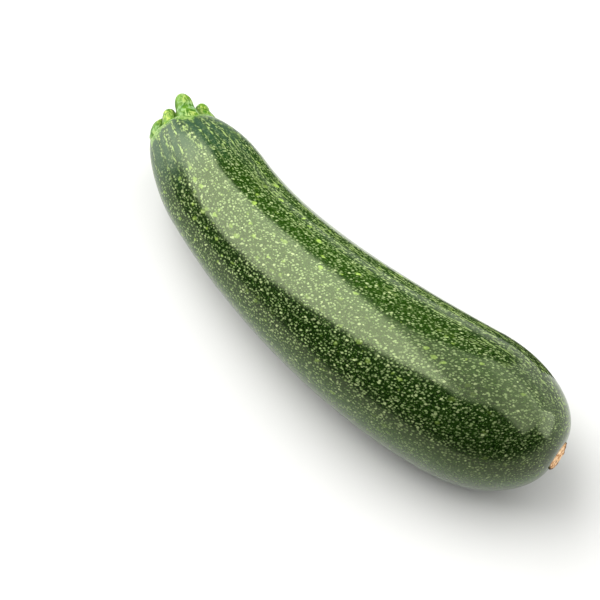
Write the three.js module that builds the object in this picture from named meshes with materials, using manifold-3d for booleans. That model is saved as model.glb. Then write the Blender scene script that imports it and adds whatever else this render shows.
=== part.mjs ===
// A whole zucchini (courgette) lying on its side: the dark green fruit, the ribbed
// stub of its stem at the -X end and the corky blossom scar at the +X end.
// Millimetres, +Z up, z = 0 at the flat it lies on, origin under the middle of its box.
import * as THREE from 'three';
import { mergeVertices } from 'three/addons/utils/BufferGeometryUtils.js';
import Module from 'manifold-3d';

// Where the whole stands, so that the box round it is centred on the origin
const SHIFT_X = 3.29;
const SHIFT_Y = -6.18;

// Spine: the fruit's centre line, as seen from above
const SPAN = 176.1;            // along X, from the stem's base to the blossom scar
const LEAN = 5.1;              // how far the blossom half is carried toward +Y
const BOW = 13.2;              // how far both ends curve toward +Y
const END_BOW = 5.25;          // the curve's extra tightness at the two ends
const TIP_TURN = 5.15;         // how far the blossom end straightens again
const TIP_SHARE = 0.2;         // the last share of the span, where it does
const TIP_SKEW = 5;            // degrees that the last section is turned further, toward -Y
const STEM_OFFSET = 2.2;         // how far off the centre line, toward -Y, the stem sits
const STEM_OFFSET_SHARE = 0.11;  // the first share of the span, where the fruit leans over to it

// Body
const NECK_RADIUS = 19;        // behind the stem
const BELLY_RADIUS = 26;       // at the fullest place, nearer the blossom end
const NECK_TO = 0.04;          // shares of the span between which the neck widens
const BELLY_FROM = 0.795;
const BELLY_FLAT = 0.35;       // depth of the flat that it rests on

// Its rounded ends: length, power (0.5 is an ellipse, more is slimmer) and the end's own
// radius as a share of the body's
const SHOULDER = { length: 27, power: 0.83, least: 0.63 };
const BLOSSOM_END = { length: 33.8, power: 0.52, least: 0.18 };
const CROWN = 0.6;             // height of the low dome under the stem

// Low ribs that run on from the stem's ridges and die out along the fruit
const RIBS = 5;
const RIB_TURN = 4;            // degrees from straight up to the first rib, toward -Y
const RIB_HEIGHT = 0.5;        // on the shoulder
const RIB_HEIGHT_FAR = 0.12;   // past the middle
const RIB_FADE_FROM = 0.06;
const RIB_FADE_TO = 0.5;

// Stem stub
const STEM_YAW = 27;           // degrees from -X toward +Y
const STEM_ROOT = 5;           // how far it starts behind its base, inside the fruit
const STEM_LENGTH = 4.4;       // from its base to the cut, on the axis
const STEM_OBLIQUE = 0.4;      // how much longer the upper side is
const STEM_CORE_CUT = 8.2;     // radius in the grooves, at the cut
const STEM_CORE_BASE = 10;     // radius in the grooves, at the base
const STEM_FLARE = 0.2;        // how fast it widens behind the base
const STEM_DISH = 1.2;         // the cut face's hollow
// One row a ridge: degrees from straight up toward -Y, height, half width in degrees, extra length
const STEM_RIDGES = [
  [-12, 3.2, 22, 5.3],
  [29, 2.2, 16, 1.5],
  [70, 3, 23, 0],
  [108, 1.5, 15, 0.8],
  [146, 2.6, 22, 2.2],
  [182, 1.5, 15, 1.2],
  [217, 2.7, 21, 2.6],
  [252, 1.5, 15, 1.4],
  [290, 2.9, 23, 3.1],
  [325, 1.2, 13, 1],
];
// The stem's side from root to cut: share of the length, share of the radius; the last rows round its edge
const STEM_SIDE = [[0, 1], [0.15, 1], [0.3, 1], [0.42, 1], [0.54, 1], [0.66, 1], [0.78, 1], [0.88, 0.99],
  [0.95, 0.965], [0.985, 0.92], [1, 0.85]];
// The cut face from its edge inward: share of the hollow's depth, share of the radius
const STEM_FACE = [[0.35, 0.66], [0.8, 0.4]];

// Blossom scar
const SCAR_RADIUS = 4.9;
const SCAR_RAGGED = 0.4;       // how far its edge wanders
const SCAR_PROUD = 0.5;        // how far it stands out of the skin
const SCAR_PITCH = 12;         // degrees that it faces upward
const SCAR_SUNK = 1.2;         // how deep it is set in
// From its back to its front: share of the radius, height over the skin, 1 on the outer rows
const SCAR_ROWS = [[0.86, -SCAR_SUNK, -1], [0.98, -0.35, 0], [1, 0.15, 0], [0.93, SCAR_PROUD, 1],
  [0.66, 0.42, 1], [0.34, 0.3, 1]];
const SCAR_MIDDLE = 0.5;       // height at its middle

const GAP = 0.3;               // between touching pieces

// Mesh density
const RINGS = 76;
const SEGMENTS = 44;
const STEM_SEGMENTS = 80;
const SCAR_SEGMENTS = 40;

const UP = new THREE.Vector3(0, 0, 1);
const wasm = await Module();
wasm.setup();

function smooth(x) {
  const t = Math.min(Math.max(x, 0), 1);
  return t * t * (3 - 2 * t);
}

function bodyRadius(u) {
  return NECK_RADIUS + (BELLY_RADIUS - NECK_RADIUS) * smooth((u - NECK_TO) / (BELLY_FROM - NECK_TO));
}

function ribHeight(u, turn) {
  const height = RIB_HEIGHT + (RIB_HEIGHT_FAR - RIB_HEIGHT)
    * smooth((u - RIB_FADE_FROM) / (RIB_FADE_TO - RIB_FADE_FROM));
  return height * Math.cos(RIBS * (turn - THREE.MathUtils.degToRad(RIB_TURN)));
}

// 0 until the blossom end begins to straighten, 1 at the scar
function tipShare(u) {
  return Math.max(0, (u - 1 + TIP_SHARE) / TIP_SHARE);
}

// The centre line, or without its offset at the stem, which turns no section
function spinePoint(u, offset = STEM_OFFSET) {
  const k = 2 * u - 1;
  const start = Math.max(0, (STEM_OFFSET_SHARE - u) / STEM_OFFSET_SHARE);
  const y = LEAN * k + BOW * k ** 2 + END_BOW * k ** 4 - TIP_TURN * tipShare(u) ** 2 - offset * start ** 2;
  return new THREE.Vector3(SHIFT_X + SPAN / 2 * k, SHIFT_Y + y, bodyRadius(u) + ribHeight(u, Math.PI) - BELLY_FLAT);
}

// Level direction of the spine at u, toward the blossom end
function spineAlong(u) {
  const step = 1e-4;
  const skew = THREE.MathUtils.degToRad(TIP_SKEW) * tipShare(u) ** 2;
  return spinePoint(u + step, 0).sub(spinePoint(u - step, 0)).setZ(0).normalize().applyAxisAngle(UP, -skew);
}

// A point at a radius and a turn (radians from straight up toward -Y) round a level line
function around(centre, along, radius, turn) {
  const side = new THREE.Vector3().crossVectors(along, UP);
  return centre.clone().addScaledVector(UP, radius * Math.cos(turn))
    .addScaledVector(side, radius * Math.sin(turn));
}

// How much of the body's radius is left at a distance from a rounded end
function endShare(distance, end) {
  const a = Math.max(0, 1 - distance / end.length);
  return end.least + (1 - end.least) * (1 - a ** 2) ** end.power;
}

// A closed skin over rings of equal count, from one end point to the other
function skin(first, rings, last) {
  const count = rings[0].length;
  const position = [first, ...rings.flat(), last].flatMap((p) => [p.x, p.y, p.z]);
  const end = 1 + rings.length * count;
  const index = [];
  for (let j = 0; j < count; j++) {
    const next = (j + 1) % count;
    index.push(0, 1 + next, 1 + j);
    index.push(end, end - count + j, end - count + next);
    for (let i = 0; i + 1 < rings.length; i++) {
      const a = 1 + i * count + j;
      const b = 1 + i * count + next;
      index.push(a, b, a + count, b, b + count, a + count);
    }
  }
  const geometry = new THREE.BufferGeometry();
  geometry.setAttribute('position', new THREE.Float32BufferAttribute(position, 3));
  geometry.setIndex(index);
  return geometry;
}

// The fruit's skin, or the same skin a little outside itself
function fruitSkin(grow) {
  const section = (u, share, out) => {
    const centre = spinePoint(u).addScaledVector(spineAlong(u), out);
    const ring = [];
    for (let j = 0; j < SEGMENTS; j++) {
      const turn = 2 * Math.PI * j / SEGMENTS;
      const point = around(centre, spineAlong(u), share * (bodyRadius(u) + ribHeight(u, turn)) + grow, turn);
      ring.push(point.setZ(Math.max(point.z, grow > 0 ? -grow : 0)));
    }
    return ring;
  };
  const rings = [[0.5, 0.87], [0.85, 0.45]].map(([share, rise]) =>
    section(0, SHOULDER.least * share, -CROWN * rise - grow));
  for (let i = 0; i <= RINGS; i++) {
    const u = (1 - Math.cos(Math.PI * i / RINGS)) / 2;
    rings.push(section(u, endShare(u * SPAN, SHOULDER) * endShare((1 - u) * SPAN, BLOSSOM_END), 0));
  }
  const first = spinePoint(0).addScaledVector(spineAlong(0), -CROWN - grow);
  const last = spinePoint(1).addScaledVector(spineAlong(1), grow);
  return skin(first, rings, last);
}

// The stem stub, its root still inside the fruit
function stemColumn() {
  const yaw = THREE.MathUtils.degToRad(STEM_YAW);
  const inward = new THREE.Vector3(Math.cos(yaw), -Math.sin(yaw), 0);
  const base = spinePoint(0);
  const place = (out, radius, turn) => around(base.clone().addScaledVector(inward, -out), inward, radius, turn);
  // The ridges' height (column 1) or extra length (column 3) at a turn: each ridge is a round lobe
  const ridges = (turn, column, joining) => STEM_RIDGES.reduce((sum, row) => {
    const off = THREE.MathUtils.euclideanModulo(THREE.MathUtils.radToDeg(turn) - row[0] + 180, 360) - 180;
    const lobe = Math.sqrt(Math.max(0, 1 - Math.abs(off / row[2]) ** 2.2));
    return sum + (row[column] * lobe) ** joining;
  }, 0) ** (1 / joining);
  const cutOut = (turn) => STEM_LENGTH + STEM_OBLIQUE * Math.cos(turn) + ridges(turn, 3, 1.4);
  const radiusAt = (out, turn) => {
    const t = Math.min(Math.max(out / STEM_LENGTH, 0), 1);
    return STEM_CORE_BASE + (STEM_CORE_CUT - STEM_CORE_BASE) * t + STEM_FLARE * Math.max(0, -out) + ridges(turn, 1, 2.2);
  };
  const ring = (make) => Array.from({ length: STEM_SEGMENTS }, (_, j) => make(2 * Math.PI * j / STEM_SEGMENTS));
  const side = STEM_SIDE.map(([share, shrink]) => ring((turn) => {
    const out = -STEM_ROOT + share * (cutOut(turn) + STEM_ROOT);
    return place(out, radiusAt(out, turn) * shrink, turn);
  }));
  const face = STEM_FACE.map(([depth, shrink]) => ring((turn) => {
    const out = cutOut(turn) + (STEM_LENGTH - cutOut(turn)) * depth - STEM_DISH * depth;
    return place(out, radiusAt(STEM_LENGTH, turn) * shrink, turn);
  }));
  return skin(place(STEM_LENGTH - STEM_DISH, 0, 0), [...side, ...face].reverse(), place(-STEM_ROOT, 0, 0));
}

// The scar, or the same shape a little outside itself
function scarDisc(grow) {
  const level = spineAlong(1);
  const across = new THREE.Vector3().crossVectors(level, UP);
  const place = (out, radius, turn) => around(new THREE.Vector3().addScaledVector(level, out), level, radius, turn)
    .applyAxisAngle(across, THREE.MathUtils.degToRad(SCAR_PITCH)).add(spinePoint(1));
  const edge = (turn) => SCAR_RAGGED
    * (0.6 * Math.sin(3 * turn + 1) + 0.5 * Math.sin(7 * turn) + 0.3 * Math.sin(13 * turn + 2));
  const rings = SCAR_ROWS.map(([share, height, outer]) => Array.from({ length: SCAR_SEGMENTS }, (_, j) => {
    const turn = 2 * Math.PI * j / SCAR_SEGMENTS;
    return place(height + grow * outer, share * (SCAR_RADIUS + edge(turn)) + grow, turn);
  }));
  return skin(place(-SCAR_SUNK - grow, 0, 0), rings, place(SCAR_MIDDLE + grow, 0, 0));
}

function solid(geometry) {
  return new wasm.Manifold(new wasm.Mesh({
    numProp: 3,
    vertProperties: geometry.attributes.position.array,
    triVerts: new Uint32Array(geometry.index.array),
  }));
}

function geometryOf(manifold) {
  const mesh = manifold.getMesh();
  const geometry = new THREE.BufferGeometry();
  geometry.setAttribute('position', new THREE.BufferAttribute(mesh.vertProperties, 3));
  geometry.setIndex(new THREE.BufferAttribute(mesh.triVerts, 1));
  return mergeVertices(geometry, 1e-4);
}

function piece(name, geometry, look) {
  const mesh = new THREE.Mesh(geometry, new THREE.MeshStandardMaterial(look));
  mesh.name = name;
  geometry.computeVertexNormals();
  return mesh;
}

const zucchini = new THREE.Group();
zucchini.name = 'zucchini';
zucchini.add(
  piece('fruit', geometryOf(solid(fruitSkin(0)).subtract(solid(scarDisc(GAP)))),
    { color: 0x2c4a1b, roughness: 0.35, metalness: 0 }),
  piece('stem_stub', geometryOf(solid(stemColumn()).subtract(solid(fruitSkin(GAP)))),
    { color: 0xa3c063, roughness: 0.7, metalness: 0 }),
  piece('blossom_scar', scarDisc(0), { color: 0xd0a06c, roughness: 0.9, metalness: 0 }),
);

export default zucchini;
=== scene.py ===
import math

import bmesh
import bpy
from mathutils import Matrix, Vector, noise


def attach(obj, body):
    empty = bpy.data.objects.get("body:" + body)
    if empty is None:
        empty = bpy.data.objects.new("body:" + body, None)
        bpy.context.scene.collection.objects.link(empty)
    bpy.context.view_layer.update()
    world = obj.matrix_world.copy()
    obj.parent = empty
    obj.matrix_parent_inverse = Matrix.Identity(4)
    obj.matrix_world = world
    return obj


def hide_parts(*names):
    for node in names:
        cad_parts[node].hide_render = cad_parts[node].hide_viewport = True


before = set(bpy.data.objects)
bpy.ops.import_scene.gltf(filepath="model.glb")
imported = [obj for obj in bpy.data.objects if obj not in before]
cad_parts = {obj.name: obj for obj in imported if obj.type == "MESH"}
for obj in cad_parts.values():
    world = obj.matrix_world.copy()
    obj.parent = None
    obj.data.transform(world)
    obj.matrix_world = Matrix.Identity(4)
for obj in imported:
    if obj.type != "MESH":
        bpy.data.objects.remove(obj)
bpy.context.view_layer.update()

# A whole zucchini (courgette) lying on its side: the dark green fruit, the lobed stub of
# its stem and the corky blossom scar. Metres, +Z up, z = 0 at the flat it lies on.
MM = 0.001

# The fruit's shape: lengths in metres, shares and powers plain, turns in radians
FRUIT = {
    # Where it stands
    "Shift X": 3.29 * MM,
    "Shift Y": -6.18 * MM,
    # Centre line, seen from above
    "Span": 176.1 * MM,
    "Lean": 5.1 * MM,
    "Bow": 13.2 * MM,
    "End Bow": 5.25 * MM,
    "Tip Turn": 5.15 * MM,
    "Tip Share": 0.2,
    "Tip Skew": math.radians(5),
    "Stem Offset": 2.2 * MM,
    "Stem Offset Share": 0.11,
    # Body
    "Neck Radius": 19 * MM,
    "Belly Radius": 26 * MM,
    "Neck To": 0.04,
    "Belly From": 0.795,
    "Belly Flat": 0.35 * MM,
    # Rounded ends
    "Shoulder Length": 27 * MM,
    "Shoulder Power": 0.83,
    "Shoulder Least": 0.63,
    "Blossom Length": 33.8 * MM,
    "Blossom Power": 0.52,
    "Blossom Least": 0.18,
    "Crown": 0.6 * MM,
    # Low ribs that run on from the stem's ridges
    "Ribs": 5,
    "Rib Turn": math.radians(4),
    "Rib Height": 0.5 * MM,
    "Rib Height Far": 0.12 * MM,
    "Rib Fade From": 0.06,
    "Rib Fade To": 0.5,
    # Grown unevenness: long shallow waves and small dimples
    "Wave Height": 0.22 * MM,
    "Wave Length": 48 * MM,
    "Wave Width": 15 * MM,
    "Dimple Height": 0.035 * MM,
    "Dimple Size": 6 * MM,
    "Seed": 7.3,
    # Mesh
    "Rings": 300,
    "Segments": 190,
    "Crown Share": 0.03,
    "Blossom Share": 0.012,
}

# The stem stub
STEM_YAW = math.radians(27)
STEM_ROOT = 3.2 * MM
STEM_LENGTH = 4.4 * MM
STEM_OBLIQUE = 0.4 * MM
STEM_CORE_CUT = 8.2 * MM
STEM_CORE_BASE = 10 * MM
STEM_DISH = 1.6 * MM
STEM_LOBE_MOST = 3.2 * MM
STEM_ROUND = 2.6 * MM           # how far from the cut the lobes begin to round over
STEM_ROUND_SHARE = 0.55         # how far that rounding goes in, as a share of its length
LOBE_POWER = 2.2                # 2 is an ellipse across a lobe, more is squarer
HEIGHT_SHARPNESS = 2.2          # how deep the creases between lobes are: more is deeper
LENGTH_SHARPNESS = 1.4
STEM_SEGMENTS = 260
STEM_ROWS = 46
STEM_FACE_ROWS = 14
# One row a lobe: turn in degrees, height in mm, half width in degrees and extra length in mm
STEM_LOBES = [
    (-12, 3.2, 22, 5.3),
    (29, 2.2, 16, 1.5),
    (70, 3.0, 23, 0.0),
    (108, 1.5, 15, 0.8),
    (146, 2.6, 22, 2.2),
    (182, 1.5, 15, 1.2),
    (217, 2.7, 21, 2.6),
    (252, 1.5, 15, 1.4),
    (290, 2.9, 23, 3.1),
    (325, 1.2, 13, 1.0),
]

# The blossom scar
SCAR_RADIUS = 4.9 * MM
SCAR_RAGGED = 0.4 * MM
SCAR_PROUD = 0.5 * MM
SCAR_PITCH = math.radians(12)
SCAR_SUNK = 1.2 * MM
SCAR_SEGMENTS = 150
SCAR_FACE_ROWS = 40
SCAR_CRUMBLE = 0.36 * MM
SCAR_CRUMB = 1.1 * MM

# The photographed view
VIEW_AZIMUTH = math.radians(47.4)
VIEW_ELEVATION = math.radians(65)
VIEW_TARGET = Vector((-6.74, -10.45, 22.0)) * MM
VIEW_DISTANCE = 565 * MM
VIEW_LENS = 100                 # millimetres, on a sensor 36 mm wide

STREAKS = 25                    # dotted streaks round the shoulder
SKIN_RADIUS = 22 * MM           # a middling radius, for patterns that keep their count round the fruit

MATH = "ShaderNodeMath"
VECTOR = "ShaderNodeVectorMath"
UP = Vector((0, 0, 1))


def hex_colour(text):
    """An sRGB hex colour as linear red, green, blue and 1."""
    parts = [int(text[i:i + 2], 16) / 255 for i in (1, 3, 5)]
    return [c / 12.92 if c <= 0.04045 else ((c + 0.055) / 1.055) ** 2.4 for c in parts] + [1.0]


def socket(sockets, key):
    """The socket of that number, or the first usable one of that name."""
    if isinstance(key, int):
        return sockets[key]
    return next(s for s in sockets if s.name == key and s.enabled)


def add(tree, kind, inputs=(), **settings):
    """Add a node with its settings. An input is a value, an output, or a node for its first output."""
    made = tree.nodes.new(kind)
    for name, value in settings.items():
        setattr(made, name, value)
    for key, value in inputs.items() if isinstance(inputs, dict) else enumerate(inputs):
        if isinstance(value, bpy.types.Node):
            value = next(o for o in value.outputs if o.enabled)
        if isinstance(value, bpy.types.NodeSocket):
            tree.links.new(value, socket(made.inputs, key))
        elif value is not None:
            socket(made.inputs, key).default_value = value
    return made


# The fruit's skin, swept along its centre line by a Geometry Nodes tree

def fruit_tree():
    """A grid rolled round the centre line: X runs from stem to blossom, Y round the section."""
    tree = bpy.data.node_groups.new("fruit skin", "GeometryNodeTree")
    tree.interface.new_socket("Skin", in_out="OUTPUT", socket_type="NodeSocketGeometry")
    for name, value in FRUIT.items():
        kind = "NodeSocketInt" if isinstance(value, int) else "NodeSocketFloat"
        tree.interface.new_socket(name, in_out="INPUT", socket_type=kind).default_value = value
    tree.interface.new_socket("Rind", in_out="INPUT", socket_type="NodeSocketMaterial")
    size = add(tree, "NodeGroupInput").outputs

    columns = add(tree, MATH, [size["Segments"], 1], operation="ADD")
    grid = add(tree, "GeometryNodeMeshGrid", {
        "Size X": 1.0, "Size Y": 1.0, "Vertices X": size["Rings"], "Vertices Y": columns})
    flat = add(tree, "ShaderNodeSeparateXYZ", [add(tree, "GeometryNodeInputPosition")])
    row = add(tree, MATH, [flat.outputs["X"], 0.5], operation="ADD")
    round_to = add(tree, MATH, [flat.outputs["Y"], 2 * math.pi], operation="MULTIPLY")
    kept = add(tree, "GeometryNodeStoreNamedAttribute", {
        "Geometry": grid, "Name": "row", "Value": row}, data_type="FLOAT", domain="POINT")
    kept = add(tree, "GeometryNodeStoreNamedAttribute", {
        "Geometry": kept, "Name": "turn", "Value": round_to}, data_type="FLOAT", domain="POINT")
    row = add(tree, "GeometryNodeInputNamedAttribute", {"Name": "row"}, data_type="FLOAT")
    turn = add(tree, "GeometryNodeInputNamedAttribute", {"Name": "turn"}, data_type="FLOAT")

    # Share of the span, closer rows at the two ends
    blossom_row = add(tree, MATH, [1, size["Blossom Share"]], operation="SUBTRACT")
    even = add(tree, "ShaderNodeMapRange", {
        "Value": row, "From Min": size["Crown Share"], "From Max": blossom_row})
    wide = add(tree, MATH, [even, math.pi], operation="MULTIPLY")
    wide = add(tree, MATH, [wide], operation="COSINE")
    share = add(tree, MATH, [wide, -0.5, 0.5], operation="MULTIPLY_ADD")
    crown = add(tree, "ShaderNodeMapRange", {
        "Value": row, "From Min": 0.0, "From Max": size["Crown Share"]})
    closing = add(tree, "ShaderNodeMapRange", {
        "Value": row, "From Min": blossom_row, "From Max": 1.0, "To Min": 1.0, "To Max": 0.0})

    # Radius of the body with its ribs
    body = add(tree, "ShaderNodeMapRange", {
        "Value": share, "From Min": size["Neck To"], "From Max": size["Belly From"],
        "To Min": size["Neck Radius"], "To Max": size["Belly Radius"]}, interpolation_type="SMOOTHSTEP")
    rib_height = add(tree, "ShaderNodeMapRange", {
        "Value": share, "From Min": size["Rib Fade From"], "From Max": size["Rib Fade To"],
        "To Min": size["Rib Height"], "To Max": size["Rib Height Far"]}, interpolation_type="SMOOTHSTEP")
    rib_phase = add(tree, MATH, [turn, size["Rib Turn"]], operation="SUBTRACT")
    rib_phase = add(tree, MATH, [rib_phase, size["Ribs"]], operation="MULTIPLY")
    rib = add(tree, MATH, [rib_phase], operation="COSINE")
    rib = add(tree, MATH, [rib, rib_height], operation="MULTIPLY")
    under_phase = add(tree, MATH, [math.pi, size["Rib Turn"]], operation="SUBTRACT")
    under_phase = add(tree, MATH, [under_phase, size["Ribs"]], operation="MULTIPLY")
    under = add(tree, MATH, [under_phase], operation="COSINE")
    under = add(tree, MATH, [under, rib_height, body], operation="MULTIPLY_ADD")
    height = add(tree, MATH, [under, size["Belly Flat"]], operation="SUBTRACT")

    # Grown unevenness
    about = add(tree, MATH, [turn], operation="COSINE")
    beside = add(tree, MATH, [turn], operation="SINE")
    lengthwise = add(tree, MATH, [share, size["Span"]], operation="MULTIPLY")
    belly_about = add(tree, MATH, [about, size["Belly Radius"]], operation="MULTIPLY")
    belly_beside = add(tree, MATH, [beside, size["Belly Radius"]], operation="MULTIPLY")
    unrolled = add(tree, "ShaderNodeCombineXYZ", [lengthwise, belly_about, belly_beside])
    wave_size = add(tree, "ShaderNodeCombineXYZ", [
        size["Wave Length"], size["Wave Width"], size["Wave Width"]])
    waves = add(tree, VECTOR, [unrolled, wave_size], operation="DIVIDE")
    waves = add(tree, "ShaderNodeTexNoise", {
        "Vector": waves, "W": size["Seed"], "Scale": 1.0, "Detail": 1.0}, noise_dimensions="4D")
    waves = add(tree, MATH, [waves, 0.5], operation="SUBTRACT")
    waves = add(tree, MATH, [waves, size["Wave Height"]], operation="MULTIPLY")
    dimple_size = add(tree, "ShaderNodeCombineXYZ", [size["Dimple Size"]] * 3)
    dimples = add(tree, VECTOR, [unrolled, dimple_size], operation="DIVIDE")
    dimples = add(tree, "ShaderNodeTexNoise", {
        "Vector": dimples, "W": size["Seed"], "Scale": 1.0, "Detail": 1.0}, noise_dimensions="4D")
    dimples = add(tree, MATH, [dimples, 0.5], operation="SUBTRACT")
    dimples = add(tree, MATH, [dimples, size["Dimple Height"], waves], operation="MULTIPLY_ADD")
    uneven = add(tree, MATH, [dimples, 2.0, rib], operation="MULTIPLY_ADD")

    # Rounding of the two ends
    from_stem = add(tree, "ShaderNodeMapRange", {
        "Value": lengthwise, "From Min": 0.0, "From Max": size["Shoulder Length"],
        "To Min": 1.0, "To Max": 0.0})
    to_blossom = add(tree, MATH, [size["Span"], lengthwise], operation="SUBTRACT")
    from_blossom = add(tree, "ShaderNodeMapRange", {
        "Value": to_blossom, "From Min": 0.0, "From Max": size["Blossom Length"],
        "To Min": 1.0, "To Max": 0.0})
    left = add(tree, MATH, [crown, closing], operation="MULTIPLY")
    for end, near in (("Shoulder", from_stem), ("Blossom", from_blossom)):
        gone = add(tree, MATH, [near, near], operation="MULTIPLY")
        gone = add(tree, MATH, [1, gone], operation="SUBTRACT")
        gone = add(tree, MATH, [gone, size[end + " Power"]], operation="POWER")
        kept_share = add(tree, "ShaderNodeMapRange", {
            "Value": gone, "From Min": 0.0, "From Max": 1.0, "To Min": size[end + " Least"], "To Max": 1.0})
        left = add(tree, MATH, [left, kept_share], operation="MULTIPLY")
    radius = add(tree, MATH, [body, uneven], operation="ADD")
    radius = add(tree, MATH, [radius, left], operation="MULTIPLY")
    dome = add(tree, MATH, [crown, crown], operation="MULTIPLY")
    dome = add(tree, MATH, [1, dome], operation="SUBTRACT")
    dome = add(tree, MATH, [dome], operation="SQRT")
    dome = add(tree, MATH, [dome, size["Crown"]], operation="MULTIPLY")
    out = add(tree, MATH, [dome, -1.0], operation="MULTIPLY")

    # Centre line and the way each section faces
    k = add(tree, MATH, [share, 2.0, -1.0], operation="MULTIPLY_ADD")
    k_two = add(tree, MATH, [k, k], operation="MULTIPLY")
    k_three = add(tree, MATH, [k_two, k], operation="MULTIPLY")
    k_four = add(tree, MATH, [k_two, k_two], operation="MULTIPLY")
    tip_start = add(tree, MATH, [1, size["Tip Share"]], operation="SUBTRACT")
    tip = add(tree, "ShaderNodeMapRange", {"Value": share, "From Min": tip_start, "From Max": 1.0})
    tip_two = add(tree, MATH, [tip, tip], operation="MULTIPLY")
    start = add(tree, "ShaderNodeMapRange", {
        "Value": share, "From Min": 0.0, "From Max": size["Stem Offset Share"],
        "To Min": 1.0, "To Max": 0.0})
    start_two = add(tree, MATH, [start, start], operation="MULTIPLY")
    half_span = add(tree, MATH, [size["Span"], 0.5], operation="MULTIPLY")
    x = add(tree, MATH, [k, half_span, size["Shift X"]], operation="MULTIPLY_ADD")
    y = add(tree, MATH, [k, size["Lean"], size["Shift Y"]], operation="MULTIPLY_ADD")
    y = add(tree, MATH, [k_two, size["Bow"], y], operation="MULTIPLY_ADD")
    y = add(tree, MATH, [k_four, size["End Bow"], y], operation="MULTIPLY_ADD")
    turned_back = add(tree, MATH, [tip_two, size["Tip Turn"]], operation="MULTIPLY")
    y = add(tree, MATH, [y, turned_back], operation="SUBTRACT")
    offset = add(tree, MATH, [start_two, size["Stem Offset"]], operation="MULTIPLY")
    y = add(tree, MATH, [y, offset], operation="SUBTRACT")
    rise = add(tree, MATH, [size["Lean"], 2.0], operation="MULTIPLY")
    bow_rise = add(tree, MATH, [k, size["Bow"]], operation="MULTIPLY")
    rise = add(tree, MATH, [bow_rise, 4.0, rise], operation="MULTIPLY_ADD")
    end_rise = add(tree, MATH, [k_three, size["End Bow"]], operation="MULTIPLY")
    rise = add(tree, MATH, [end_rise, 8.0, rise], operation="MULTIPLY_ADD")
    tip_rise = add(tree, MATH, [tip, size["Tip Turn"]], operation="MULTIPLY")
    tip_rise = add(tree, MATH, [tip_rise, size["Tip Share"]], operation="DIVIDE")
    rise = add(tree, MATH, [tip_rise, -2.0, rise], operation="MULTIPLY_ADD")
    yaw = add(tree, MATH, [rise, size["Span"]], operation="ARCTAN2")
    skew = add(tree, MATH, [tip_two, size["Tip Skew"]], operation="MULTIPLY")
    yaw = add(tree, MATH, [yaw, skew], operation="SUBTRACT")

    # Each point of the section, and the flat that the fruit rests on
    to_side = add(tree, MATH, [radius, beside], operation="MULTIPLY")
    to_side = add(tree, MATH, [to_side, -1.0], operation="MULTIPLY")
    upward = add(tree, MATH, [radius, about], operation="MULTIPLY")
    in_section = add(tree, "ShaderNodeCombineXYZ", [out, to_side, upward])
    faced = add(tree, "ShaderNodeVectorRotate", {
        "Vector": in_section, "Angle": yaw}, rotation_type="Z_AXIS")
    centre = add(tree, "ShaderNodeCombineXYZ", [x, y, height])
    placed = add(tree, VECTOR, [faced, centre], operation="ADD")
    over_floor = add(tree, "ShaderNodeSeparateXYZ", [placed])
    resting = add(tree, MATH, [over_floor.outputs["Z"], 0.0], operation="MAXIMUM")
    placed = add(tree, "ShaderNodeCombineXYZ", [over_floor.outputs["X"], over_floor.outputs["Y"], resting])
    shaped = add(tree, "GeometryNodeSetPosition", {"Geometry": kept, "Position": placed})

    # What the rind's pattern follows: distance along the skin from the stem, and the way round
    index = add(tree, "GeometryNodeInputIndex")
    column = add(tree, MATH, [index, columns], operation="MODULO")
    before = add(tree, MATH, [index, columns], operation="SUBTRACT")
    before = add(tree, MATH, [before, column], operation="MAXIMUM")
    here = add(tree, "GeometryNodeInputPosition")
    there = add(tree, "GeometryNodeFieldAtIndex", {
        "Index": before, "Value": here}, data_type="FLOAT_VECTOR")
    step = add(tree, VECTOR, [here, there], operation="DISTANCE")
    walked = add(tree, "GeometryNodeAccumulateField", {
        "Value": step.outputs["Value"], "Group ID": column}, data_type="FLOAT")
    along = add(tree, "ShaderNodeCombineXYZ", [walked.outputs["Leading"], about, beside])
    marked = add(tree, "GeometryNodeStoreNamedAttribute", {
        "Geometry": shaped, "Name": "along_round", "Value": along},
        data_type="FLOAT_VECTOR", domain="POINT")
    marked = add(tree, "GeometryNodeStoreNamedAttribute", {
        "Geometry": marked, "Name": "girth", "Value": radius}, data_type="FLOAT", domain="POINT")
    for name in ("row", "turn"):
        marked = add(tree, "GeometryNodeRemoveAttribute", {"Geometry": marked, "Name": name})

    closed = add(tree, "GeometryNodeMergeByDistance", {"Geometry": marked, "Distance": 0.001 * MM})
    closed = add(tree, "GeometryNodeSetShadeSmooth", {"Geometry": closed})
    closed = add(tree, "GeometryNodeSetMaterial", {"Geometry": closed, "Material": size["Rind"]})
    closed = add(tree, "GeometryNodeRealizeInstances", {"Geometry": closed})
    add(tree, "NodeGroupOutput", [closed])
    return tree


def new_object(name, mesh):
    made = bpy.data.objects.new(name, mesh)
    bpy.context.scene.collection.objects.link(made)
    return made


def tidy_mesh(mesh):
    """Merge doubles and turn every face outward."""
    work = bmesh.new()
    work.from_mesh(mesh)
    bmesh.ops.remove_doubles(work, verts=work.verts, dist=0.0005 * MM)
    bmesh.ops.dissolve_degenerate(work, edges=work.edges, dist=0.0001 * MM)
    bmesh.ops.recalc_face_normals(work, faces=work.faces)
    if work.calc_volume(signed=True) < 0:
        bmesh.ops.reverse_faces(work, faces=work.faces)
    work.to_mesh(mesh)
    work.free()
    for face in mesh.polygons:
        face.use_smooth = True


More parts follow.
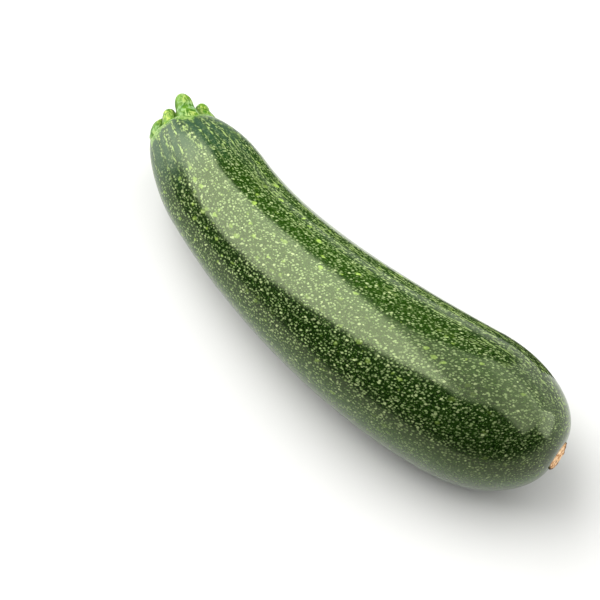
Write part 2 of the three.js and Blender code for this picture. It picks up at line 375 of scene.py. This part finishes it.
def make_fruit(rind):
    source = new_object("fruit source", bpy.data.meshes.new("fruit source"))
    tree = fruit_tree()
    modifier = source.modifiers.new("skin", "NODES")
    modifier.node_group = tree
    for item in tree.interface.items_tree:
        if item.in_out == "INPUT":
            modifier[item.identifier] = rind if item.name == "Rind" else FRUIT[item.name]
    seen = source.evaluated_get(bpy.context.evaluated_depsgraph_get())
    mesh = bpy.data.meshes.new_from_object(seen)
    bpy.data.objects.remove(source)
    mesh.name = "fruit_skin"
    tidy_mesh(mesh)
    return new_object("fruit_skin", mesh)


def rings_mesh(name, first, rings, last, material, marks=None):
    """A closed skin over rings of equal count between two end points; marks give each vertex a value."""
    count = len(rings[0])
    points = [first] + [p for ring in rings for p in ring] + [last]
    end = len(points) - 1
    faces = []
    for j in range(count):
        after = (j + 1) % count
        faces.append((0, 1 + after, 1 + j))
        faces.append((end, end - count + j, end - count + after))
        for i in range(len(rings) - 1):
            a = 1 + i * count
            faces.append((a + j, a + after, a + count + after, a + count + j))
    mesh = bpy.data.meshes.new(name)
    mesh.from_pydata([tuple(p) for p in points], [], faces)
    for mark, values in (marks or {}).items():
        attribute = mesh.attributes.new(mark, "FLOAT_VECTOR", "POINT")
        for i, value in enumerate(values):
            attribute.data[i].vector = value
    mesh.materials.append(material)
    tidy_mesh(mesh)
    return new_object(name, mesh)


def around(centre, along, radius, turn):
    """A point at a radius and a turn from straight up toward -Y round a level line."""
    side = along.cross(UP)
    return centre + UP * radius * math.cos(turn) + side * radius * math.sin(turn)


def end_centre(share):
    """The centre line at the stem (share 0) or at the blossom end (share 1)."""
    k = 2 * share - 1
    across = FRUIT["Shift Y"] + FRUIT["Lean"] * k + FRUIT["Bow"] + FRUIT["End Bow"]
    across -= FRUIT["Tip Turn"] if share == 1 else FRUIT["Stem Offset"]
    body = FRUIT["Belly Radius"] if share == 1 else FRUIT["Neck Radius"]
    rib = FRUIT["Rib Height Far"] if share == 1 else FRUIT["Rib Height"]
    under = rib * math.cos(FRUIT["Ribs"] * (math.pi - FRUIT["Rib Turn"]))
    return Vector((FRUIT["Shift X"] + FRUIT["Span"] / 2 * k, across, body + under - FRUIT["Belly Flat"]))


# The stem stub

def lobe_sum(turn, column, sharpness):
    """The lobes' height or extra length at a turn, with creases where two of them meet."""
    total = 0.0
    for row in STEM_LOBES:
        off = abs((math.degrees(turn) - row[0] + 180) % 360 - 180) / row[2]
        lobe = max(0.0, 1 - off ** LOBE_POWER) ** 0.5
        total += (row[column] * lobe) ** sharpness
    return total ** (1 / sharpness) * MM


def make_stem(flesh):
    inward = Vector((math.cos(STEM_YAW), -math.sin(STEM_YAW), 0))
    base = end_centre(0)
    rings = []
    marks = [Vector((0, 0, 0))]
    lobes = [Vector((0, 0, 0))]
    shape = []
    for j in range(STEM_SEGMENTS):
        turn = 2 * math.pi * j / STEM_SEGMENTS
        cut = STEM_LENGTH + STEM_OBLIQUE * math.cos(turn) + lobe_sum(turn, 3, LENGTH_SHARPNESS)
        shape.append((turn, cut, lobe_sum(turn, 1, HEIGHT_SHARPNESS)))
    for i in range(STEM_ROWS + STEM_FACE_ROWS):
        on_side = i < STEM_ROWS
        ring = []
        for turn, cut, lobe in shape:
            if on_side:
                # Closer rows toward the rounded rim
                share = 1 - (1 - i / (STEM_ROWS - 1)) ** 1.7
                out = -STEM_ROOT + share * (cut + STEM_ROOT)
                near = max(0.0, 1 - (cut - out) / STEM_ROUND)
                rounding = STEM_ROUND * STEM_ROUND_SHARE * (1 - math.sqrt(max(0.0, 1 - near * near)))
                up_stem = min(max(out / STEM_LENGTH, 0), 1)
                radius = STEM_CORE_BASE + (STEM_CORE_CUT - STEM_CORE_BASE) * up_stem + lobe - rounding
            else:
                # In over the lobes' ends, then across the dished cut
                share = (i - STEM_ROWS + 1) / (STEM_FACE_ROWS + 1)
                depth = share ** 0.75
                out = cut + (STEM_LENGTH - cut) * min(1, depth * 1.3)
                out -= STEM_DISH * math.sin(depth * math.pi / 2)
                radius = (STEM_CORE_CUT + lobe - STEM_ROUND * STEM_ROUND_SHARE) * (1 - share)
            spot = around(base - inward * out, inward, radius, turn)
            lump = noise.noise(spot / (2.2 * MM)) * 0.16 + noise.noise(spot / (0.8 * MM)) * 0.05
            spot = around(base - inward * out, inward, radius + lump * MM, turn)
            ring.append(spot)
            marks.append(Vector((out, radius * math.cos(turn), radius * math.sin(turn))))
            lobes.append(Vector((lobe / STEM_LOBE_MOST, 0 if on_side else share, 0)))
        rings.append(ring)
    marks.append(Vector((STEM_LENGTH, 0, 0)))
    lobes.append(Vector((0, 1, 0)))
    first = base + inward * STEM_ROOT
    last = base - inward * (STEM_LENGTH - STEM_DISH)
    return rings_mesh("stem", first, rings, last, flesh, {"stem_place": marks, "stem_lobe": lobes})


# The blossom scar

def make_scar(cork):
    # The centre line's own rise over the span where it ends
    rise = 2 * FRUIT["Lean"] + 4 * FRUIT["Bow"] + 8 * FRUIT["End Bow"]
    rise -= 2 * FRUIT["Tip Turn"] / FRUIT["Tip Share"]
    yaw = math.atan2(rise, FRUIT["Span"]) - FRUIT["Tip Skew"]
    level = Vector((math.cos(yaw), math.sin(yaw), 0))
    across = level.cross(UP)
    centre = end_centre(1)
    lift = Matrix.Rotation(SCAR_PITCH, 3, across)
    rings = []
    marks = [Vector((0, 0, 0))]
    # Share of the radius and height at each ring of the edge, then in over the crumbled face
    profile = [
        (0.8, -SCAR_SUNK), (0.95, -0.8 * MM), (1.0, -0.3 * MM), (1.01, 0.05 * MM), (0.985, 0.3 * MM)]
    profile += [(0.96 * (1 - i / SCAR_FACE_ROWS), None) for i in range(SCAR_FACE_ROWS)]
    for share, out in profile:
        ring = []
        for j in range(SCAR_SEGMENTS):
            turn = 2 * math.pi * j / SCAR_SEGMENTS
            edge = 0.6 * math.sin(3 * turn + 1) + 0.5 * math.sin(7 * turn) + 0.3 * math.sin(13 * turn + 2)
            torn = noise.noise(Vector((math.cos(turn), math.sin(turn), 4)) * 5)
            ragged = SCAR_RAGGED * (edge + 0.8 * torn)
            radius = share * (SCAR_RADIUS + ragged)
            flat = Vector((radius * math.cos(turn), radius * math.sin(turn), 0))
            high = out
            if out is None:
                crumble = noise.fractal(flat / SCAR_CRUMB, 1.0, 2.0, 5) * SCAR_CRUMBLE
                high = SCAR_PROUD * (0.75 + 0.25 * math.cos(share * math.pi)) + crumble
            spot = lift @ (UP * radius * math.cos(turn) + across * radius * math.sin(turn) + level * high)
            ring.append(centre + spot)
            marks.append(Vector((radius * math.cos(turn), radius * math.sin(turn), high)))
        rings.append(ring)
    rings.pop()
    del marks[-SCAR_SEGMENTS:]
    marks.append(Vector((0, 0, SCAR_PROUD)))
    first = centre + lift @ (level * -SCAR_SUNK)
    last = centre + lift @ (level * SCAR_PROUD)
    return rings_mesh("scar", first, rings, last, cork, {"scar_place": marks})


# Materials

def new_material(name):
    """A material with one shader wired to its output."""
    made = bpy.data.materials.new(name)
    made.use_nodes = True
    tree = made.node_tree
    tree.nodes.clear()
    surface = add(tree, "ShaderNodeBsdfPrincipled")
    add(tree, "ShaderNodeOutputMaterial", {"Surface": surface})
    return made, tree, surface


def specks(tree, place, cell, stretch, least, most, core=0.5, strewn=1.0):
    """Round pale specks, one to a cell of that size. Gives how deep a point is in its speck, times the
    speck's brightness. Least and most are radii as shares of the cell, core is a speck's full part, and
    strewn is 0 for specks in even rows and 1 for specks anywhere."""
    drawn = add(tree, VECTOR, [place, (1 / stretch, 1, 1)], operation="MULTIPLY")
    cells = add(tree, "ShaderNodeTexVoronoi", {
        "Vector": drawn, "Scale": 1 / cell, "Randomness": strewn})
    own = add(tree, "ShaderNodeSeparateColor", [cells.outputs["Color"]])
    reach = add(tree, "ShaderNodeMapRange", {
        "Value": own.outputs["Red"], "To Min": least, "To Max": most})
    full = add(tree, MATH, [reach, core], operation="MULTIPLY")
    inside = add(tree, "ShaderNodeMapRange", {
        "Value": cells.outputs["Distance"], "From Min": reach, "From Max": full},
        interpolation_type="SMOOTHSTEP")
    bright = add(tree, "ShaderNodeMapRange", {
        "Value": own.outputs["Green"], "To Min": 0.5, "To Max": 1.0})
    return add(tree, MATH, [inside, bright], operation="MULTIPLY")


def blend(tree, share, below, above):
    """Lay one colour over another."""
    return add(tree, "ShaderNodeMix", {"Factor": share, "A": below, "B": above}, data_type="RGBA")


def waxed_rind():
    """Courgette rind: grown skin under a thin natural wax. A soft gloss over dark green, with pale green
    specks in lengthwise rows, larger yellow-green blotches, and by the stem blue-grey skin between
    dotted streaks."""
    made, tree, surface = new_material("waxed_rind")
    way = add(tree, "ShaderNodeAttribute", attribute_name="along_round").outputs["Vector"]
    girth = add(tree, "ShaderNodeAttribute", attribute_name="girth").outputs["Fac"]
    section = add(tree, "ShaderNodeCombineXYZ", [1.0, girth, girth])
    place = add(tree, VECTOR, [way, section], operation="MULTIPLY")
    apart = add(tree, "ShaderNodeSeparateXYZ", [way])
    along = apart.outputs["X"]
    toward = apart.outputs["Z"]

    # Outlines wander by about a quarter of a millimetre
    wander = add(tree, "ShaderNodeTexNoise", {"Vector": place, "Scale": 1 / (1.4 * MM), "Detail": 2.0})
    wander = add(tree, VECTOR, [wander.outputs["Color"], (0.5, 0.5, 0.5)], operation="SUBTRACT")
    wander = add(tree, VECTOR, [wander, (0.55 * MM, 0.55 * MM, 0.55 * MM)], operation="MULTIPLY")
    loose = add(tree, VECTOR, [place, wander], operation="ADD")

    # Lengthwise rows: the same count round the fruit wherever they are
    rolled = add(tree, VECTOR, [way, (0.05, SKIN_RADIUS, SKIN_RADIUS)], operation="MULTIPLY")
    rows = add(tree, "ShaderNodeTexNoise", {"Vector": rolled, "Scale": 1 / (1.7 * MM), "Detail": 1.0})
    broad = add(tree, VECTOR, [way, (0.16, SKIN_RADIUS, SKIN_RADIUS)], operation="MULTIPLY")
    broad = add(tree, "ShaderNodeTexNoise", {"Vector": broad, "Scale": 1 / (11 * MM), "Detail": 1.0})

    # Four sizes of speck. The finest are drawn half a millimetre apart, coarser than real ones, to show
    dust = specks(tree, loose, 0.5 * MM, 1.25, 0.1, 0.5)
    fine = specks(tree, loose, 0.88 * MM, 1.25, 0.34, 0.58, strewn=0.8)
    middling = specks(tree, loose, 1.8 * MM, 1.25, 0.08, 0.33)
    torn = add(tree, VECTOR, [wander, (-3.0, -3.0, -3.0), place], operation="MULTIPLY_ADD")
    blotches = specks(tree, torn, 3.0 * MM, 1.3, 0.0, 0.38, 0.55)
    in_rows = add(tree, "ShaderNodeMapRange", {
        "Value": rows, "From Min": 0.38, "From Max": 0.52, "To Min": 0.5, "To Max": 1.0})
    fine = add(tree, MATH, [fine, in_rows], operation="MULTIPLY")
    cloud_noise = add(tree, "ShaderNodeTexNoise", {
        "Vector": place, "Scale": 1 / (0.9 * MM), "Detail": 2.0})
    in_bands = add(tree, "ShaderNodeMapRange", {"Value": broad, "From Min": 0.38, "From Max": 0.52})
    blotches = add(tree, MATH, [blotches, in_bands], operation="MULTIPLY")
    mottled = add(tree, "ShaderNodeMapRange", {
        "Value": cloud_noise, "From Min": 0.4, "From Max": 0.6, "To Min": 1.0, "To Max": 0.7})
    blotches = add(tree, MATH, [blotches, mottled], operation="MULTIPLY")

    # Painted light and shade round the fruit: the far side toward +Y is painted greener, with brighter
    # blotches, as if lit, and the near side is painted nearly black, as if in shade
    painted_lit_side = add(tree, "ShaderNodeMapRange", {
        "Value": toward, "From Min": 0.35, "From Max": -0.35}, interpolation_type="SMOOTHSTEP")
    before_tip = add(tree, "ShaderNodeMapRange", {
        "Value": along, "From Min": 120 * MM, "From Max": 165 * MM, "To Min": 1.0, "To Max": 0.25})
    painted_lit_side = add(tree, MATH, [painted_lit_side, before_tip], operation="MULTIPLY")
    more = add(tree, "ShaderNodeMapRange", {"Value": painted_lit_side, "To Min": 0.6, "To Max": 1.0})
    blotches = add(tree, MATH, [blotches, more], operation="MULTIPLY")
    cloud = add(tree, "ShaderNodeMapRange", {"Value": cloud_noise, "From Min": 0.42, "From Max": 0.62})
    pale_band = add(tree, "ShaderNodeMapRange", {"Value": broad, "From Min": 0.38, "From Max": 0.66})
    painted_shade_colour = blend(tree, pale_band, hex_colour("#020d01"), hex_colour("#061702"))
    painted_lit_colour = blend(tree, pale_band, hex_colour("#0f2501"), hex_colour("#152e02"))
    colour = blend(tree, painted_lit_side, painted_shade_colour, painted_lit_colour)
    # The skin is paler low down: partly its own paler ground spot, partly painted light on the lower flank
    ground_spot_and_painted_light = add(tree, "ShaderNodeMapRange", {
        "Value": apart.outputs["Y"], "From Min": 0.55, "From Max": 0.1, "To Max": 0.8},
        interpolation_type="SMOOTHSTEP")
    colour = blend(tree, ground_spot_and_painted_light, colour, hex_colour("#2a4a1a"))
    # A faint net of paler green between the specks
    net = add(tree, "ShaderNodeTexVoronoi", {
        "Vector": loose, "Scale": 1 / (1.3 * MM)}, feature="DISTANCE_TO_EDGE")
    net = add(tree, "ShaderNodeMapRange", {
        "Value": net.outputs["Distance"], "From Min": 0.02, "From Max": 0.16, "To Min": 1.0, "To Max": 0.0})
    cloud = add(tree, MATH, [cloud, net], operation="MAXIMUM")
    # Painted shade: the pale cloud is fainter on the near side, which is painted dark
    cloud_share = add(tree, "ShaderNodeMapRange", {"Value": painted_lit_side, "To Min": 0.22, "To Max": 0.35})
    cloud = add(tree, MATH, [cloud, cloud_share], operation="MULTIPLY")
    colour = blend(tree, cloud, colour, hex_colour("#2a4611"))

    # By the stem the skin is blue-grey, with most of its specks in streaks that run lengthwise
    near_stem = add(tree, "ShaderNodeMapRange", {
        "Value": along, "From Min": 22 * MM, "From Max": 46 * MM, "To Min": 1.0, "To Max": 0.0},
        interpolation_type="SMOOTHSTEP")
    streaked = add(tree, VECTOR, [way, (0.1, SKIN_RADIUS, SKIN_RADIUS)], operation="MULTIPLY")
    swaying = add(tree, "ShaderNodeTexNoise", {"Vector": streaked, "Scale": 1 / (4 * MM), "Detail": 2.0})
    swaying = add(tree, MATH, [swaying, 9.0], operation="MULTIPLY")
    angle = add(tree, MATH, [toward, apart.outputs["Y"]], operation="ARCTAN2")
    streaks = add(tree, MATH, [angle, STREAKS, swaying], operation="MULTIPLY_ADD")
    streaks = add(tree, MATH, [streaks], operation="SINE")
    streaks = add(tree, "ShaderNodeMapRange", {"Value": streaks, "From Min": -0.1, "From Max": 0.6})
    smooth = add(tree, MATH, [1.0, streaks], operation="SUBTRACT")
    smooth = add(tree, MATH, [smooth, near_stem], operation="MULTIPLY")
    greyed = add(tree, MATH, [near_stem, 0.45], operation="MULTIPLY")
    greyed = add(tree, MATH, [smooth, 0.4, greyed], operation="MULTIPLY_ADD")
    colour = blend(tree, greyed, colour, hex_colour("#243e2d"))
    speckled = add(tree, MATH, [smooth, -0.75, 1.0], operation="MULTIPLY_ADD")

    # Specks grow fainter toward the blossom end
    fading = add(tree, "ShaderNodeMapRange", {
        "Value": along, "From Min": 120 * MM, "From Max": 175 * MM, "To Min": 1.0, "To Max": 0.6})
    speckled = add(tree, MATH, [speckled, fading], operation="MULTIPLY")
    dust = add(tree, MATH, [dust, speckled], operation="MULTIPLY")
    fine = add(tree, MATH, [fine, speckled], operation="MULTIPLY")
    middling = add(tree, MATH, [middling, speckled], operation="MULTIPLY")
    blotches = add(tree, MATH, [blotches, speckled], operation="MULTIPLY")
    colour = blend(tree, dust, colour, hex_colour("#425d28"))
    colour = blend(tree, fine, colour, hex_colour("#7e8f5e"))
    colour = blend(tree, middling, colour, hex_colour("#98a474"))
    colour = blend(tree, blotches, colour, hex_colour("#90ac4c"))

    # Fine dashes down the side toward +Y, and along the streaks by the stem
    dashed = add(tree, VECTOR, [place, (0.16, 1, 1)], operation="MULTIPLY")
    dashes = add(tree, "ShaderNodeTexNoise", {"Vector": dashed, "Scale": 1 / (0.75 * MM), "Detail": 1.0})
    dashes = add(tree, "ShaderNodeMapRange", {"Value": dashes, "From Min": 0.56, "From Max": 0.66})
    far_side = add(tree, "ShaderNodeMapRange", {
        "Value": toward, "From Min": -0.25, "From Max": -0.7, "To Max": 0.7})
    by_streak = add(tree, MATH, [streaks, near_stem], operation="MULTIPLY")
    where = add(tree, MATH, [far_side, by_streak], operation="MAXIMUM")
    dashes = add(tree, MATH, [dashes, where], operation="MULTIPLY")
    colour = blend(tree, dashes, colour, hex_colour("#849958"))

    # The stem's own green runs a little way down in five uneven tongues
    tongue = add(tree, "ShaderNodeTexNoise", {"Vector": streaked, "Scale": 1 / (3 * MM), "Detail": 1.0})
    reach = add(tree, "ShaderNodeMapRange", {
        "Value": tongue, "From Min": 0.35, "From Max": 0.65, "To Min": 13.6 * MM, "To Max": 16.4 * MM})
    lobe = add(tree, MATH, [angle, 5.0, math.radians(30)], operation="MULTIPLY_ADD")
    lobe = add(tree, MATH, [lobe], operation="COSINE")
    reach = add(tree, MATH, [lobe, 1.8 * MM, reach], operation="MULTIPLY_ADD")
    past = add(tree, MATH, [along, reach], operation="SUBTRACT")
    by_stem = add(tree, "ShaderNodeMapRange", {
        "Value": past, "From Min": -0.6 * MM, "From Max": 0.6 * MM, "To Min": 1.0, "To Max": 0.0})
    collar = add(tree, "ShaderNodeMapRange", {"Value": cloud_noise, "From Min": 0.42, "From Max": 0.58})
    collar = blend(tree, collar, hex_colour("#3f6617"), hex_colour("#789051"))
    colour = blend(tree, by_stem, colour, collar)

    grain = add(tree, "ShaderNodeTexNoise", {"Vector": place, "Scale": 1 / (0.8 * MM), "Detail": 3.0})
    relief = add(tree, MATH, [fine, 0.5, grain], operation="MULTIPLY_ADD")
    bump = add(tree, "ShaderNodeBump", {"Height": relief, "Distance": 0.03 * MM, "Strength": 0.5})
    dull = add(tree, "ShaderNodeMapRange", {"Value": grain, "To Min": 0.12, "To Max": 0.18})
    # The wax is left as a dull bloom by the stem, where handling doesn't polish it
    dull = add(tree, MATH, [near_stem, 0.17, dull], operation="MULTIPLY_ADD")
    tree.links.new(socket(colour.outputs, "Result"), surface.inputs["Base Color"])
    tree.links.new(dull.outputs[0], surface.inputs["Roughness"])
    tree.links.new(bump.outputs[0], surface.inputs["Normal"])
    surface.inputs["IOR"].default_value = 1.5
    surface.inputs["Specular Tint"].default_value = hex_colour("#edffc5")
    return made


def stem_flesh():
    """Courgette stem, cut with a knife: firm flesh under a green skin with pale mottles, with painted
    shade in the creases between its lobes. The cut face is paler, with a ring of vessels."""
    made, tree, surface = new_material("stem_flesh")
    place = add(tree, "ShaderNodeAttribute", attribute_name="stem_place").outputs["Vector"]
    lobe = add(tree, "ShaderNodeAttribute", attribute_name="stem_lobe").outputs["Vector"]
    lobe = add(tree, "ShaderNodeSeparateXYZ", [lobe])
    drawn = add(tree, VECTOR, [place, (0.55, 1, 1)], operation="MULTIPLY")
    net = add(tree, "ShaderNodeTexNoise", {
        "Vector": drawn, "Scale": 1 / (1.2 * MM), "Detail": 3.0, "Distortion": 0.8})
    net = add(tree, "ShaderNodeMapRange", {
        "Value": net, "From Min": 0.47, "From Max": 0.6, "To Min": 1.0, "To Max": 0.0})
    cloud = add(tree, "ShaderNodeTexNoise", {"Vector": place, "Scale": 1 / (2.4 * MM), "Detail": 3.0})
    cloud = add(tree, "ShaderNodeMapRange", {"Value": cloud, "From Min": 0.38, "From Max": 0.62})
    broad = add(tree, "ShaderNodeTexNoise", {"Vector": place, "Scale": 1 / (6 * MM), "Detail": 1.0})
    broad = add(tree, "ShaderNodeMapRange", {"Value": broad, "From Min": 0.4, "From Max": 0.6})
    pale = blend(tree, broad, hex_colour("#6f8f5c"), hex_colour("#93a34c"))
    colour = blend(tree, cloud, hex_colour("#2f5a08"), hex_colour("#557a1c"))
    colour = blend(tree, net, pale, colour)
    # Painted shade: darker green in the creases between the lobes
    painted_crease_shade = add(tree, "ShaderNodeMapRange", {
        "Value": lobe.outputs["X"], "From Min": 0.25, "From Max": 0.7, "To Min": 0.75, "To Max": 0.0})
    colour = blend(tree, painted_crease_shade, colour, hex_colour("#274a06"))
    # The cut face: its share of the way in from the edge
    inward = lobe.outputs["Y"]
    face = add(tree, "ShaderNodeMapRange", {"Value": inward, "From Min": 0.05, "From Max": 0.2})
    flesh = blend(tree, cloud, hex_colour("#8f9f55"), hex_colour("#a9b272"))
    vessels = add(tree, "ShaderNodeTexVoronoi", {"Vector": place, "Scale": 1 / (1.5 * MM)})
    vessels = add(tree, "ShaderNodeMapRange", {
        "Value": vessels.outputs["Distance"], "From Min": 0.2, "From Max": 0.45,
        "To Min": 0.7, "To Max": 0.0})
    ring = add(tree, MATH, [inward, 0.4], operation="SUBTRACT")
    ring = add(tree, MATH, [ring], operation="ABSOLUTE")
    ring = add(tree, "ShaderNodeMapRange", {
        "Value": ring, "From Min": 0.1, "From Max": 0.18, "To Min": 1.0, "To Max": 0.0})
    vessels = add(tree, MATH, [vessels, ring], operation="MULTIPLY")
    flesh = blend(tree, vessels, flesh, hex_colour("#5d7a2a"))
    colour = blend(tree, face, colour, flesh)
    grain = add(tree, "ShaderNodeTexNoise", {"Vector": place, "Scale": 1 / (0.7 * MM), "Detail": 3.0})
    relief = add(tree, MATH, [net, -0.6, grain], operation="MULTIPLY_ADD")
    bump = add(tree, "ShaderNodeBump", {"Height": relief, "Distance": 0.12 * MM, "Strength": 0.7})
    tree.links.new(socket(colour.outputs, "Result"), surface.inputs["Base Color"])
    tree.links.new(bump.outputs[0], surface.inputs["Normal"])
    surface.inputs["Roughness"].default_value = 0.42
    surface.inputs["IOR"].default_value = 1.4
    surface.inputs["Specular Tint"].default_value = hex_colour("#edffc5")
    surface.inputs["Subsurface Weight"].default_value = 0.1
    surface.inputs["Subsurface Radius"].default_value = (0.6, 1.0, 0.3)
    surface.inputs["Subsurface Scale"].default_value = 1.2 * MM
    return made


def blossom_cork():
    """Dried blossom scar: corky tan tissue, torn and dull, with paler crumbs, orange-brown pits and a thin
    dark brown edge where it meets the rind."""
    made, tree, surface = new_material("blossom_cork")
    place = add(tree, "ShaderNodeAttribute", attribute_name="scar_place").outputs["Vector"]
    cloud = add(tree, "ShaderNodeTexNoise", {"Vector": place, "Scale": 1 / (1.8 * MM), "Detail": 4.0})
    cloud = add(tree, "ShaderNodeMapRange", {"Value": cloud, "From Min": 0.38, "From Max": 0.6})
    colour = blend(tree, cloud, hex_colour("#a8713c"), hex_colour("#deb78a"))
    crumbs = add(tree, "ShaderNodeTexNoise", {"Vector": place, "Scale": 1 / (0.8 * MM), "Detail": 3.0})
    crumbs = add(tree, "ShaderNodeMapRange", {"Value": crumbs, "From Min": 0.52, "From Max": 0.66})
    colour = blend(tree, crumbs, colour, hex_colour("#eed8b4"))
    pits = add(tree, "ShaderNodeTexVoronoi", {"Vector": place, "Scale": 1 / (2.3 * MM)})
    pits = add(tree, "ShaderNodeMapRange", {
        "Value": pits.outputs["Distance"], "From Min": 0.12, "From Max": 0.3, "To Min": 0.8, "To Max": 0.0})
    colour = blend(tree, pits, colour, hex_colour("#7a4a20"))
    flat = add(tree, VECTOR, [place, (1, 1, 0)], operation="MULTIPLY")
    far = add(tree, VECTOR, [flat], operation="LENGTH")
    rim = add(tree, "ShaderNodeMapRange", {
        "Value": far.outputs["Value"], "From Min": 4.5 * MM, "From Max": 4.9 * MM})
    colour = blend(tree, rim, colour, hex_colour("#4e3014"))
    grain = add(tree, "ShaderNodeTexNoise", {"Vector": place, "Scale": 1 / (0.5 * MM), "Detail": 4.0})
    bump = add(tree, "ShaderNodeBump", {"Height": grain, "Distance": 0.3 * MM, "Strength": 0.9})
    tree.links.new(socket(colour.outputs, "Result"), surface.inputs["Base Color"])
    tree.links.new(bump.outputs[0], surface.inputs["Normal"])
    surface.inputs["Roughness"].default_value = 0.85
    return made


def studio_paper():
    """Seamless background paper: matt light grey, which the lights bring up to white."""
    made, tree, surface = new_material("studio_paper")
    surface.inputs["Base Color"].default_value = hex_colour("#bcbcba")
    surface.inputs["Roughness"].default_value = 0.7
    return made


def black_card():
    """Black card for the studio, matt."""
    made, tree, surface = new_material("black_card")
    surface.inputs["Base Color"].default_value = hex_colour("#30332c")
    surface.inputs["Roughness"].default_value = 0.8
    return made


# The pieces

fruit = make_fruit(waxed_rind())
stem = make_stem(stem_flesh())
scar = make_scar(blossom_cork())
for piece, node, finish in (
        (fruit, "fruit", "skin"), (stem, "stem_stub", "stem"), (scar, "blossom_scar", "scar")):
    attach(piece, "root")
    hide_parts(node)

# Floor, light and camera

FLOOR_HALF = 12.0
CARD_BEHIND = 52 * MM
CARD_HEIGHT = 31 * MM
CARD_FROM, CARD_TO = -200 * MM, 70 * MM
floor_mesh = bpy.data.meshes.new("floor")
floor_mesh.from_pydata([
    (-FLOOR_HALF, -FLOOR_HALF, 0), (FLOOR_HALF, -FLOOR_HALF, 0),
    (FLOOR_HALF, FLOOR_HALF, 0), (-FLOOR_HALF, FLOOR_HALF, 0)], [], [(0, 1, 2, 3)])
floor_mesh.materials.append(studio_paper())
new_object("floor", floor_mesh)

# A black card stands behind, as in a studio, so that the gloss on the far side isn't all white paper
card_mesh = bpy.data.meshes.new("card")
card_mesh.from_pydata([
    (CARD_FROM, CARD_BEHIND, 0), (CARD_TO, CARD_BEHIND, 0),
    (CARD_TO, CARD_BEHIND, CARD_HEIGHT), (CARD_FROM, CARD_BEHIND, CARD_HEIGHT)], [], [(0, 1, 2, 3)])
card_mesh.materials.append(black_card())
card = new_object("card", card_mesh)
card.visible_camera = False
card.visible_diffuse = False
card.visible_shadow = False

# In the view's own level axes: to the picture's right, and away from the viewer
right = Vector((math.cos(VIEW_AZIMUTH), math.sin(VIEW_AZIMUTH), 0))
away = Vector((-math.sin(VIEW_AZIMUTH), math.cos(VIEW_AZIMUTH), 0))


def softbox(name, centre, facing, along, width, depth, radiance):
    """An evenly lit rectangle, width along the direction given, with that radiance."""
    light = bpy.data.lights.new(name, "AREA")
    light.shape = "RECTANGLE"
    light.size = width
    light.size_y = depth
    light.energy = math.pi * radiance * width * depth
    made = bpy.data.objects.new(name, light)
    turned = Matrix((along, -facing.cross(along), -facing)).transposed()
    made.matrix_world = Matrix.Translation(centre) @ turned.to_4x4()
    made.visible_camera = False
    bpy.context.scene.collection.objects.link(made)


LIGHT_HEIGHT = 2.0
KEY_TURN = math.radians(-7.8)  # the key softbox hangs a little askew to the picture
key_along = right * math.cos(KEY_TURN) + away * math.sin(KEY_TURN)
over_head = UP * LIGHT_HEIGHT
softbox("key softbox", right * -2.68 + away * 1.61 + over_head, -UP, key_along, 5.05, 3.3, 7.0)
softbox("side softbox", right * 0.25 + away * 0.42 + over_head, -UP, right, 1.7, 2.16, 2.0)
softbox("back softbox", Vector((1.3, 1.7, 0)) + over_head, -UP, Vector((1, 0, 0)), 4.4, 3.4, 2.8)
# These three face the fruit level, from the sides
softbox("window", Vector((1.02, 3.35, 1.1)),
        Vector((-0.29, -0.957, 0)), Vector((0.957, -0.29, 0)), 3.0, 2.2, 1.5)
softbox("end window", Vector((3.3, 2.6, 0.95)),
        Vector((-0.78, -0.62, 0)), Vector((0.62, -0.78, 0)), 2.4, 1.8, 3.8)
softbox("left softbox", Vector((-2.9, -0.78, 0.55)),
        Vector((0.966, 0.26, 0)), Vector((0.26, -0.966, 0)), 1.4, 1.1, 3.6)

world = bpy.data.worlds.new("studio")
bpy.context.scene.world = world
world.use_nodes = True
tree = world.node_tree
tree.nodes.clear()
direction = add(tree, "ShaderNodeTexCoord").outputs["Generated"]
climb = add(tree, "ShaderNodeSeparateXYZ", [direction]).outputs["Z"]
# The room's wall is lit low down and dark above
low_wall = add(tree, "ShaderNodeMapRange", {
    "Value": climb, "From Min": 0.06, "From Max": 0.2, "To Min": 0.25, "To Max": 0.03},
    interpolation_type="SMOOTHSTEP")
room = add(tree, "ShaderNodeBackground", {"Color": hex_colour("#ffffff"), "Strength": low_wall})
add(tree, "ShaderNodeOutputWorld", {"Surface": room})

back = Vector((math.sin(VIEW_AZIMUTH) * math.cos(VIEW_ELEVATION),
               -math.cos(VIEW_AZIMUTH) * math.cos(VIEW_ELEVATION), math.sin(VIEW_ELEVATION)))
lens = bpy.data.cameras.new("camera")
lens.lens = VIEW_LENS
lens.sensor_width = 36
lens.clip_start = 0.01
camera = bpy.data.objects.new("camera", lens)
camera.location = VIEW_TARGET + back * VIEW_DISTANCE
camera.rotation_mode = "QUATERNION"
camera.rotation_quaternion = (-back).to_track_quat("-Z", "Y")
bpy.context.scene.collection.objects.link(camera)
bpy.context.scene.camera = camera
bpy.context.scene.view_settings.view_transform = "Standard"
